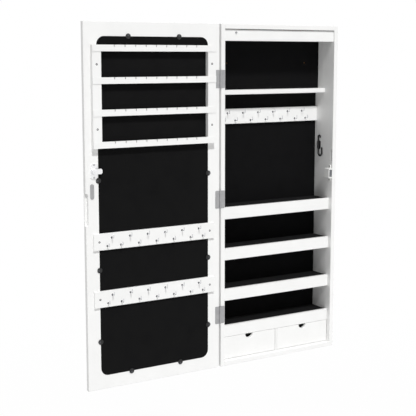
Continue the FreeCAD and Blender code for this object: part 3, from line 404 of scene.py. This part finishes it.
@dataclass
class FittingTree:
    """A tree of nodes that sets one kind of fitting on points.

    Each point has the attribute `way`, the direction that the fitting faces, and `finish`, the number
    of its finish.
    """

    name: str
    sizes: dict[str, float]
    seed: int = 7
    sockets: dict[str, bpy.types.NodeSocket] = field(default_factory=dict)
    tree: bpy.types.NodeTree | None = None

    def open(self, finishes: int) -> None:
        """Makes the tree with its named inputs.

        Args:
            finishes: how many finishes it takes.
        """
        self.tree = bpy.data.node_groups.new(self.name, "GeometryNodeTree")
        face = self.tree.interface
        face.new_socket("Geometry", in_out="INPUT", socket_type="NodeSocketGeometry")
        for label, value in self.sizes.items():
            socket = face.new_socket(label, in_out="INPUT", socket_type="NodeSocketFloat")
            socket.default_value = value
        face.new_socket("Seed", in_out="INPUT", socket_type="NodeSocketInt").default_value = self.seed
        for number in range(finishes):
            face.new_socket(f"Finish {number}", in_out="INPUT", socket_type="NodeSocketMaterial")
        face.new_socket("Geometry", in_out="OUTPUT", socket_type="NodeSocketGeometry")
        entry = add_node(self.tree, "NodeGroupInput")
        self.sockets = {socket.name: socket for socket in entry.outputs if socket.name}

    def math(self, operation: str, first: Any, second: Any) -> bpy.types.NodeSocket:
        """Joins two numbers or sockets by a sum, difference, product or test."""
        return add_node(self.tree, "ShaderNodeMath", {0: first, 1: second}, operation=operation).outputs[0]

    def vector(self, x: Any = 0.0, y: Any = 0.0, z: Any = 0.0) -> bpy.types.NodeSocket:
        """Joins three numbers or sockets to a vector."""
        return add_node(self.tree, "ShaderNodeCombineXYZ", {"X": x, "Y": y, "Z": z}).outputs[0]

    def shift(self, part: bpy.types.NodeSocket, by: bpy.types.NodeSocket) -> bpy.types.NodeSocket:
        """Moves a part of the fitting."""
        return add_node(self.tree, "GeometryNodeTransform", {"Geometry": part, "Translation": by}).outputs[0]

    def join(self, *parts: bpy.types.NodeSocket) -> bpy.types.NodeSocket:
        """Joins parts of the fitting."""
        node = add_node(self.tree, "GeometryNodeJoinGeometry")
        for part in reversed(parts):
            self.tree.links.new(part, node.inputs[0])
        return node.outputs[0]

    def paint(self, part: bpy.types.NodeSocket, finish: int) -> bpy.types.NodeSocket:
        """Gives a part of the fitting one finish."""
        return add_node(self.tree, "GeometryNodeSetMaterial",
                        {"Geometry": part, "Material": self.sockets[f"Finish {finish}"]}).outputs[0]

    def close(self, fitting: bpy.types.NodeSocket, roll: float, by_point: int = 0) -> None:
        """Sets the fitting on every point and ends the tree.

        Args:
            fitting: the fitting, facing +Z at the origin.
            roll: how far it may be turned about its own axis, in radians.
            by_point: how many finishes the points' attribute chooses among, or 0 to leave them.
        """
        way = add_node(self.tree, "GeometryNodeInputNamedAttribute", {"Name": "way"},
                       data_type="FLOAT_VECTOR")
        chance = add_node(self.tree, "FunctionNodeRandomValue",
                          {"Min": -roll, "Max": roll, "Seed": self.sockets["Seed"]}, data_type="FLOAT")
        turn = add_node(self.tree, "FunctionNodeEulerToRotation",
                        {0: self.vector(z=next(out for out in chance.outputs if out.enabled))})
        aim = add_node(self.tree, "FunctionNodeAlignRotationToVector",
                       {"Rotation": turn.outputs[0], "Vector": way.outputs[0]}, axis="Z")
        spots = add_node(self.tree, "GeometryNodeInstanceOnPoints",
                         {"Points": self.sockets["Geometry"], "Instance": fitting,
                          "Rotation": aim.outputs[0]})
        whole = add_node(self.tree, "GeometryNodeRealizeInstances", {"Geometry": spots.outputs[0]}).outputs[0]
        number = add_node(self.tree, "GeometryNodeInputNamedAttribute", {"Name": "finish"}, data_type="INT")
        for finish in range(by_point):
            chosen = add_node(self.tree, "FunctionNodeCompare", {"A": number.outputs[0], "B": finish},
                              data_type="INT", operation="EQUAL")
            whole = add_node(self.tree, "GeometryNodeSetMaterial",
                             {"Geometry": whole, "Selection": chosen.outputs[0],
                              "Material": self.sockets[f"Finish {finish}"]}).outputs[0]
        add_node(self.tree, "NodeGroupOutput", {0: whole})

    def set_on(self, name: str, points: Sequence[tuple[Vector, Vector, int]],
               finishes: Iterable[bpy.types.Material]) -> bpy.types.Object:
        """Sets the fitting on points and turns the result into one plain mesh.

        Args:
            name: name of the finished object.
            points: each point's place, facing and finish.
            finishes: the materials, in the order of their numbers.

        Returns:
            The finished object.
        """
        mesh = bpy.data.meshes.new(name + "_points")
        mesh.from_pydata([place for place, _, _ in points], [], [])
        ways = mesh.attributes.new("way", "FLOAT_VECTOR", "POINT")
        ways.data.foreach_set("vector", [part for _, way, _ in points for part in way])
        numbers = mesh.attributes.new("finish", "INT", "POINT")
        numbers.data.foreach_set("value", [number for _, _, number in points])
        thing = new_object(name + "_points", mesh)
        modifier = thing.modifiers.new("fittings", "NODES")
        modifier.node_group = self.tree
        names = {item.name: item.identifier for item in self.tree.interface.items_tree
                 if item.in_out == "INPUT"}
        for label, value in self.sizes.items():
            modifier[names[label]] = value
        for number, material in enumerate(finishes):
            modifier[names[f"Finish {number}"]] = material
        whole = settle(thing, name)
        smooth(whole)
        return whole


@dataclass
class Screw:
    """A countersunk wood screw with a cross recess."""

    head: float = 2.6 * MM
    sink: float = 1.4 * MM
    shank: float = 1.2 * MM
    long: float = 7.5 * MM
    recess_long: float = 2.7 * MM
    recess_wide: float = 0.75 * MM
    recess_deep: float = 0.8 * MM
    head_sides: int = 28
    shank_sides: int = 12

    def tree(self) -> FittingTree:
        """Lays out the screw: head less recess, and shank.

        Returns:
            The finished tree of nodes.
        """
        tree = FittingTree("countersunk screws", {
            "Head Radius": self.head, "Head Height": self.sink, "Shank Radius": self.shank,
            "Length": self.long, "Recess Length": self.recess_long, "Recess Width": self.recess_wide,
            "Recess Depth": self.recess_deep})
        tree.open(3)
        size = tree.sockets
        cone = add_node(tree.tree, "GeometryNodeMeshCone",
                        {"Vertices": self.head_sides, "Radius Top": size["Head Radius"],
                         "Radius Bottom": size["Shank Radius"], "Depth": size["Head Height"]}).outputs[0]
        down = tree.math("MULTIPLY", size["Head Height"], -1.0)
        head = tree.shift(cone, tree.vector(z=down))
        bars = []
        double = tree.math("MULTIPLY", size["Recess Depth"], 2.0)
        for along, across in (("Recess Length", "Recess Width"), ("Recess Width", "Recess Length")):
            block = add_node(tree.tree, "GeometryNodeMeshCube",
                             {"Size": tree.vector(size[along], size[across], double)})
            bars.append(block.outputs[0])
        cut = add_node(tree.tree, "GeometryNodeMeshBoolean", {"Mesh 1": head}, operation="DIFFERENCE")
        for bar in reversed(bars):
            tree.tree.links.new(bar, cut.inputs["Mesh 2"])
        rod = add_node(tree.tree, "GeometryNodeMeshCylinder",
                       {"Vertices": self.shank_sides, "Radius": size["Shank Radius"],
                        "Depth": size["Length"]}).outputs[0]
        middle = tree.math("MULTIPLY", tree.math("ADD", tree.math("MULTIPLY", size["Head Height"], 2.0),
                                                 size["Length"]), -0.5)
        tree.close(tree.join(cut.outputs[0], tree.shift(rod, tree.vector(z=middle))), math.pi, 3)
        return tree


@dataclass
class NecklaceHook:
    """A wire hook that stands out of its flange and turns up at its free end."""

    reach: float = 11.0 * MM
    rise: float = 8.5 * MM
    bend: float = 3.0 * MM
    wire: float = 1.05 * MM
    flange: float = 2.6 * MM
    flange_thick: float = 1.0 * MM
    wire_sides: int = 10
    tip_rings: int = 6
    bend_steps: int = 6
    flange_sides: int = 24

    def tree(self) -> FittingTree:
        """Lays out the hook: round flange, bent wire and round tip.

        Returns:
            The finished tree of nodes.
        """
        tree = FittingTree("necklace hooks", {
            "Reach": self.reach, "Rise": self.rise, "Bend": self.bend, "Wire Radius": self.wire,
            "Flange Radius": self.flange, "Flange Thickness": self.flange_thick})
        tree.open(2)
        size = tree.sockets
        line = add_node(tree.tree, "GeometryNodeCurvePrimitiveLine", {"End": tree.vector(z=size["Reach"])})
        three = add_node(tree.tree, "GeometryNodeResampleCurve",
                         {"Curve": line.outputs[0], "Count": 3}).outputs[0]
        number = add_node(tree.tree, "GeometryNodeInputIndex").outputs[0]
        up = tree.math("MULTIPLY", tree.math("GREATER_THAN", number, 1.5), size["Rise"])
        out = tree.math("MULTIPLY", tree.math("GREATER_THAN", number, 0.5), size["Reach"])
        route = add_node(tree.tree, "GeometryNodeSetPosition",
                         {"Geometry": three, "Position": tree.vector(y=up, z=out)}).outputs[0]
        bent = add_node(tree.tree, "GeometryNodeFilletCurve",
                        {"Curve": route, "Radius": size["Bend"], "Count": self.bend_steps},
                        mode="POLY").outputs[0]
        ring = add_node(tree.tree, "GeometryNodeCurvePrimitiveCircle",
                        {"Resolution": self.wire_sides, "Radius": size["Wire Radius"]}).outputs[0]
        rod = add_node(tree.tree, "GeometryNodeCurveToMesh", {"Curve": bent, "Profile Curve": ring,
                                                              "Fill Caps": True}).outputs[0]
        ball = add_node(tree.tree, "GeometryNodeMeshUVSphere",
                        {"Segments": self.wire_sides, "Rings": self.tip_rings,
                         "Radius": size["Wire Radius"]}).outputs[0]
        tip = tree.shift(ball, tree.vector(y=size["Rise"], z=size["Reach"]))
        collar = add_node(tree.tree, "GeometryNodeMeshCone",
                          {"Vertices": self.flange_sides, "Radius Bottom": size["Flange Radius"],
                           "Radius Top": tree.math("MULTIPLY", size["Flange Radius"], 0.8),
                           "Depth": size["Flange Thickness"]}).outputs[0]
        # Finish 1, the darker grey on the flange, is painted shade.
        tree.close(tree.join(tree.paint(tree.join(rod, tip), 0), tree.paint(collar, 1)), 0.03)
        return tree


@dataclass
class TurnClip:
    """A round black clip with a soft edge."""

    radius: float = 6.5 * MM
    thick: float = 2.0 * MM
    edge: float = 0.7 * MM
    sides: int = 40

    def tree(self) -> FittingTree:
        """Lays out the clip: a straight wall below two slopes that round its edge.

        Returns:
            The finished tree of nodes.
        """
        tree = FittingTree("mirror clips",
                           {"Radius": self.radius, "Thickness": self.thick, "Edge": self.edge})
        tree.open(1)
        size = tree.sockets
        rings = [(0.0, 0.0), (1.0, 0.0), (1.0, 0.3), (0.7, 0.75), (0.0, 1.0)]
        layers = []
        wall = tree.math("SUBTRACT", size["Thickness"], size["Edge"])
        for low, high in zip(rings[1:], rings[2:]):
            foot = tree.math("ADD", wall, tree.math("MULTIPLY", size["Edge"], low[1])) if low[1] else 0.0
            head = tree.math("ADD", wall, tree.math("MULTIPLY", size["Edge"], high[1]))
            inner = tree.math("SUBTRACT", size["Radius"], size["Edge"])
            wide, narrow = (tree.math("ADD", inner, tree.math("MULTIPLY", size["Edge"], ring[0]))
                            for ring in (low, high))
            layer = add_node(tree.tree, "GeometryNodeMeshCone",
                             {"Vertices": self.sides, "Radius Bottom": wide, "Radius Top": narrow,
                              "Depth": tree.math("SUBTRACT", head, foot)}).outputs[0]
            layers.append(tree.shift(layer, tree.vector(z=foot)))
        tree.close(tree.paint(tree.join(*layers), 0), math.pi)
        return tree


# ---------------------------------------------------------------- sub-assemblies


@dataclass
class CaseShell:
    """The four outer boards, the back and its linings."""

    boards: tuple[str, ...] = ("case_left_side", "case_right_side", "case_bottom", "case_top")
    backs: tuple[str, ...] = ("back_panel", "hanging_board")
    linings: tuple[str, ...] = ("upper_lining", "lower_lining")

    def dress(self, finishes: dict[str, bpy.types.Material]) -> None:
        """Lacquers the boards and lines the back."""
        dress(finishes["lacquer"], *self.boards)
        dress(finishes["hardboard"], *self.backs)
        dress(finishes["flannelette"], *self.linings)


@dataclass
class LightBox:
    """The valance, its push button, and the lamp and battery box behind it."""

    diode_high: float = 1.2 * MM

    def dress(self, finishes: dict[str, bpy.types.Material]) -> None:
        """Dresses the valance, the button and the lamp."""
        dress(finishes["lacquer"], "valance")
        dress(finishes["grey_plastic"], "light_button")
        dress(finishes["white_plastic"], "battery_box")
        dress(finishes["opal"], "led_diffuser")
        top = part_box("led_strip")[0].z + self.diode_high - 0.05 * MM
        # Circuit strip: glossy white solder mask with yellow phosphor squares.
        strip = DiodeFinish("white_circuit_strip", "#EDEEEA", "#E4E5E0", 0.3, 0.04, 0.8, 0.005, 8.0,
                            diode_top=top)
        dress(strip.build(), "led_strip")


@dataclass
class Shelves:
    """The upper shelf, the railed shelves and the case's hook strip."""

    letters: str = "abcd"

    def dress(self, finishes: dict[str, bpy.types.Material]) -> None:
        """Lacquers the boards and rails and lines the shelves."""
        boards = [f"{kind}_{letter}" for kind in ("shelf", "shelf_rail") for letter in self.letters]
        dress(finishes["lacquer"], "upper_shelf", "case_hook_strip", *boards)
        dress(finishes["flannelette"], "shelf_linings")


@dataclass
class Drawers:
    """The two drawers and the board between them."""

    def dress(self, finishes: dict[str, bpy.types.Material]) -> None:
        """Lacquers fronts and boxes and lines the floors."""
        dress(finishes["lacquer"], "drawer_divider")
        for side in ("left", "right"):
            dress(finishes["lacquer"], f"drawer_{side}_front", f"drawer_{side}_box")
            dress(finishes["flannelette"], f"drawer_{side}_lining")


@dataclass
class WallHook:
    """The black wire hook on the case's right side."""

    wire: float = 2.2 * MM
    stem: float = 22.0 * MM
    top_bend: float = 4.5 * MM
    low_bend: float = 8.0 * MM
    low_rise: float = 14.0 * MM
    plate: tuple[float, float, float] = (3.0 * MM, 13.0 * MM, 24.0 * MM)

    def route(self, x: float, y: float, z: float) -> list[Vector]:
        """Follows the wire from the tip of its upper curl to the tip of its foot.

        Args:
            x: distance of the wire's middle from the frame's origin, to the right.
            y: the stem's place in the case's depth.
            z: the stem's middle in height.

        Returns:
            Points along the wire.
        """
        points = []
        for step in range(13):
            turn = math.pi * step / 12
            points.append((self.top_bend * (1 + math.cos(turn)), self.stem + self.top_bend * math.sin(turn)))
        for step in range(17):
            turn = math.pi * (1 + step / 16)
            points.append((self.low_bend * (1 + math.cos(turn)), -self.stem + self.low_bend * math.sin(turn)))
        points.append((2 * self.low_bend, self.low_rise - self.stem))
        return [Vector((x, y - forward, z + up)) for forward, up in points]

    def build(self, finish: bpy.types.Material) -> bpy.types.Object:
        """Builds the wire, its round tips and its plate.

        Args:
            finish: the material.

        Returns:
            The hook in place of the plain one.
        """
        low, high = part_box("wall_hook")
        x = low.x + self.wire
        y = low.y + 2 * self.low_bend + self.wire
        z = high.z - self.wire - self.top_bend - self.stem
        route = self.route(x, y, z)
        curve = bpy.data.curves.new("wall_hook_wire", "CURVE")
        curve.dimensions, curve.use_fill_caps = "3D", True
        curve.bevel_depth, curve.bevel_resolution = self.wire, 5
        line = curve.splines.new("POLY")
        line.points.add(len(route) - 1)
        for corner, place in zip(line.points, route):
            corner.co = (*place, 1.0)
        wire = bpy.data.objects.new("wall_hook_wire", curve)
        bpy.context.scene.collection.objects.link(wire)
        hook = settle(wire, "powder_coated_wall_hook")
        shell = bmesh.new()
        shell.from_mesh(hook.data)
        for tip in (route[0], route[-1]):
            ball = bmesh.ops.create_uvsphere(shell, u_segments=16, v_segments=10, radius=self.wire)
            bmesh.ops.translate(shell, verts=ball["verts"], vec=tip)
        deep, wide, tall = self.plate
        block = bmesh.ops.create_cube(shell, size=1.0)["verts"]
        bmesh.ops.scale(shell, verts=block, vec=(deep, wide, tall))
        bmesh.ops.translate(shell, verts=block, vec=(high.x - deep / 2, y, z))
        upright = [edge for edge in shell.edges if all(end in block for end in edge.verts)
                   and abs(edge.verts[0].co.x - edge.verts[1].co.x) > deep / 2]
        bmesh.ops.bevel(shell, geom=upright, offset=wide / 3, segments=5, affect="EDGES", profile=0.5)
        bmesh.ops.recalc_face_normals(shell, faces=shell.faces)
        shell.to_mesh(hook.data)
        shell.free()
        hook.data.materials.clear()
        hook.data.materials.append(finish)
        smooth(hook)
        stand_in(hook, "wall_hook", "case")
        return hook


@dataclass
class Catch:
    """The magnetic catch on the case and its strike plate on the door."""

    def dress(self, finishes: dict[str, bpy.types.Material]) -> None:
        """Dresses housing, magnet and strike plate."""
        dress(finishes["white_plastic"], "catch_housing")
        dress(finishes["ground_steel"], "catch_magnet")
        dress(finishes["nickel"], "strike_plate")


@dataclass
class Hinges:
    """Three butt hinges."""

    def dress(self, finishes: dict[str, bpy.types.Material]) -> None:
        """Plates leaves and pins."""
        dress(finishes["nickel"], "hinge_case_leaves", "hinge_door_leaves", "hinge_pins")


@dataclass
class Door:
    """The door's frame, mirror, backing and clips."""

    clip: TurnClip = field(default_factory=TurnClip)

    def dress(self, finishes: dict[str, bpy.types.Material]) -> None:
        """Dresses frame, mirror and backing."""
        dress(finishes["lacquer"], "door_frame")
        dress(finishes["mirror"], "mirror_glass")
        # The backing's finish is the lining flannelette painted lighter, as painted light.
        dress(finishes["backing"], "door_backing")

    def build(self, finishes: dict[str, bpy.types.Material]) -> None:
        """Sets a soft-edged clip in each plain one's place."""
        points = []
        for low, high in loose_boxes("mirror_clips"):
            middle = (low + high) / 2
            points.append((Vector((middle.x, high.y, middle.z)), Vector((0, -1, 0)), 0))
        clips = self.clip.tree().set_on("moulded_mirror_clips", points, [finishes["black_plastic"]])
        stand_in(clips, "mirror_clips", "door")


@dataclass
class Rack:
    """The earring rack and the door's two hook strips."""

    rails: str = "abcd"

    def dress(self, finishes: dict[str, bpy.types.Material]) -> None:
        """Lacquers side boards, rails and strips."""
        dress(finishes["lacquer"], "rack_left_side", "rack_right_side", "door_upper_strip",
              "door_lower_strip", *[f"rack_rail_{letter}" for letter in self.rails])


@dataclass
class Lock:
    """The cam lock."""

    def dress(self, finishes: dict[str, bpy.types.Material]) -> None:
        """Plates the lock."""
        dress(finishes["chrome"], "lock_barrel", "lock_plug", "lock_plate", "lock_cam")
        dress(finishes["chrome"], "cam_nut")


@dataclass
class Hooks:
    """The necklace hooks of the case and the door."""

    hook: NecklaceHook = field(default_factory=NecklaceHook)

    def build(self, finishes: dict[str, bpy.types.Material]) -> None:
        """Sets a round wire hook in each plain one's place."""
        tree = self.hook.tree()
        for node, body in (("case_hooks", "case"), ("door_upper_hooks", "door"),
                           ("door_lower_hooks", "door")):
            points = []
            for low, high in loose_boxes(node):
                foot = Vector(((low.x + high.x) / 2, high.y, low.z + self.hook.flange))
                points.append((foot, Vector((0, -1, 0)), 0))
            # The flanges' dark grey is painted shade on the hooks' steel.
            row = tree.set_on("nickel_" + node, points, [finishes["wire"], finishes["zinc"]])
            stand_in(row, node, body)


class ScrewHead(Enum):
    """The finishes of the screws' heads, by their number in the tree."""

    BRIGHT = 0
    DARK = 1
    CLIP = 2


@dataclass
class Screws:
    """Every screw that shows."""

    screw: Screw = field(default_factory=Screw)

    def head_of(self, place: Vector) -> ScrewHead:
        """Chooses a screw's finish by what it holds.

        Args:
            place: the middle of the screw's head.

        Returns:
            The finish.
        """
        for low, high in loose_boxes("mirror_clips"):
            if (place - (low + high) / 2).length < self.screw.head * 3:
                return ScrewHead.CLIP
        for node in ("rack_left_side", "rack_right_side", "door_upper_strip", "door_lower_strip"):
            low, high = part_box(node)
            if low.x < place.x < high.x and low.z < place.z < high.z:
                return ScrewHead.DARK
        return ScrewHead.BRIGHT

    def build(self, finishes: dict[str, bpy.types.Material]) -> None:
        """Sets a screw with a cross recess in each plain one's place."""
        tree = self.screw.tree()
        heads = [finishes["nickel"], finishes["burnished"], finishes["zinc"]]
        for node, body in (("case_screws", "case"), ("door_screws", "door")):
            points = []
            for low, high in loose_boxes(node):
                middle, size = (low + high) / 2, high - low
                way = Vector((-1, 0, 0)) if size.x > size.y else Vector((0, -1, 0))
                place = Vector((low.x, middle.y, middle.z)) if way.x else Vector((middle.x, low.y, middle.z))
                points.append((place, way, self.head_of(place).value))
            row = tree.set_on("cross_recess_" + node, points, heads)
            stand_in(row, node, body)


# ---------------------------------------------------------------- studio


@dataclass
class Studio:
    """A pale floor, a key lamp and a camera where the photographer stood."""

    floor_level: float = -1.1
    floor_half: float = 9.0
    floor_glow: float = 0.94
    shadow_near: float = 1.3
    shadow_far: float = 3.5
    world_fill: float = 0.34
    key_strength: float = 2.4
    key_angle: float = 6.2
    key_from: tuple[float, float, float] = (-0.074, -0.602, 0.796)
    camera_at: tuple[float, float, float] = (-1.476, -2.1805, 0.3665)
    camera_turn: float = 30.8
    camera_dip: float = 7.75
    lens: float = 82.78
    shift: float = -0.05

    def build(self) -> None:
        """Builds floor, world, lamp and camera."""
        self.add_floor()
        self.add_world()
        self.add_key()
        self.add_camera()

    def seen_directly(self, tree: bpy.types.NodeTree) -> bpy.types.NodeSocket:
        """Tells camera, glossy and transmitted rays from the rest."""
        path = add_node(tree, "ShaderNodeLightPath").outputs
        either = add_node(tree, "ShaderNodeMath", {0: path["Is Camera Ray"], 1: path["Is Glossy Ray"]},
                          operation="MAXIMUM")
        return add_node(tree, "ShaderNodeMath", {0: either.outputs[0], 1: path["Is Transmission Ray"]},
                        operation="MAXIMUM").outputs[0]

    def add_floor(self) -> None:
        """Lays a pale floor that keeps the cabinet's shadow."""
        half, level = self.floor_half, self.floor_level
        mesh = bpy.data.meshes.new("floor")
        corners = [(-half, -half, level), (half, -half, level), (half, half, level), (-half, half, level)]
        mesh.from_pydata(corners, [], [(0, 1, 2, 3)])
        floor = new_object("floor", mesh)
        material = bpy.data.materials.new("pale_floor_paint")
        material.use_nodes = True
        tree = material.node_tree
        tree.nodes.clear()
        matt = add_node(tree, "ShaderNodeBsdfDiffuse", {"Color": linear("#F4F4F4")})
        glow = add_node(tree, "ShaderNodeEmission", {"Color": linear("#FFFFFF"), "Strength": 1.0})
        # The floor's own shading, and with it the shadow, fades out before the floor's far edge.
        place = add_node(tree, "ShaderNodeTexCoord").outputs["Object"]
        away = add_node(tree, "ShaderNodeVectorMath", {0: place}, operation="LENGTH").outputs["Value"]
        fade = add_node(tree, "ShaderNodeMapRange",
                        {"Value": away, "From Min": self.shadow_near, "From Max": self.shadow_far,
                         "To Min": self.floor_glow, "To Max": 1.0}, interpolation_type="SMOOTHSTEP")
        share = add_node(tree, "ShaderNodeMath", {0: self.seen_directly(tree), 1: fade.outputs[0]},
                         operation="MULTIPLY")
        both = add_node(tree, "ShaderNodeMixShader",
                        {0: share.outputs[0], 1: matt.outputs[0], 2: glow.outputs[0]})
        add_node(tree, "ShaderNodeOutputMaterial", {"Surface": both.outputs[0]})
        mesh.materials.append(material)

    def add_world(self) -> None:
        """Fills the room with even light and shows it white."""
        world = bpy.data.worlds.new("studio")
        bpy.context.scene.world = world
        world.use_nodes = True
        tree = world.node_tree
        tree.nodes.clear()
        strength = add_node(tree, "ShaderNodeMapRange",
                            {"Value": self.seen_directly(tree), "To Min": self.world_fill, "To Max": 1.0})
        light = add_node(tree, "ShaderNodeBackground",
                         {"Color": linear("#FFFFFF"), "Strength": strength.outputs[0]})
        add_node(tree, "ShaderNodeOutputWorld", {"Surface": light.outputs[0]})

    def add_key(self) -> None:
        """Hangs a distant lamp high in front, slightly to the left, so that it lights all heights alike."""
        lamp = bpy.data.lights.new("key", "SUN")
        lamp.energy, lamp.angle = self.key_strength, math.radians(self.key_angle)
        thing = bpy.data.objects.new("key", lamp)
        thing.rotation_euler = Vector(self.key_from).to_track_quat("Z", "Y").to_euler()
        bpy.context.scene.collection.objects.link(thing)

    def add_camera(self) -> None:
        """Sets the camera where the photograph was taken from."""
        lens = bpy.data.cameras.new("camera")
        lens.lens, lens.sensor_width, lens.shift_y = self.lens, 36.0, self.shift
        camera = bpy.data.objects.new("camera", lens)
        camera.location = self.camera_at
        turn = (math.radians(90 - self.camera_dip), 0.0, math.radians(-self.camera_turn))
        camera.rotation_euler = Euler(turn, "XYZ")
        bpy.context.scene.collection.objects.link(camera)
        bpy.context.scene.camera = camera


def main() -> None:
    """Dresses the cabinet, piece by piece, and sets up the studio."""
    logging.basicConfig(level=logging.INFO, format="%(name)s: %(message)s")
    bpy.context.scene.view_settings.view_transform = "Standard"
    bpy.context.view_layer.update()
    finishes = Finishes().build()
    for part in (CaseShell(), LightBox(), Shelves(), Drawers(), Catch(), Hinges(), Door(), Rack(), Lock()):
        part.dress(finishes)
    Door().build(finishes)
    WallHook().build(finishes["powder"])
    Hooks().build(finishes)
    Screws().build(finishes)
    Studio().build()
    LOG.info("the cabinet is dressed")


if __name__ == "__main__":
    main()
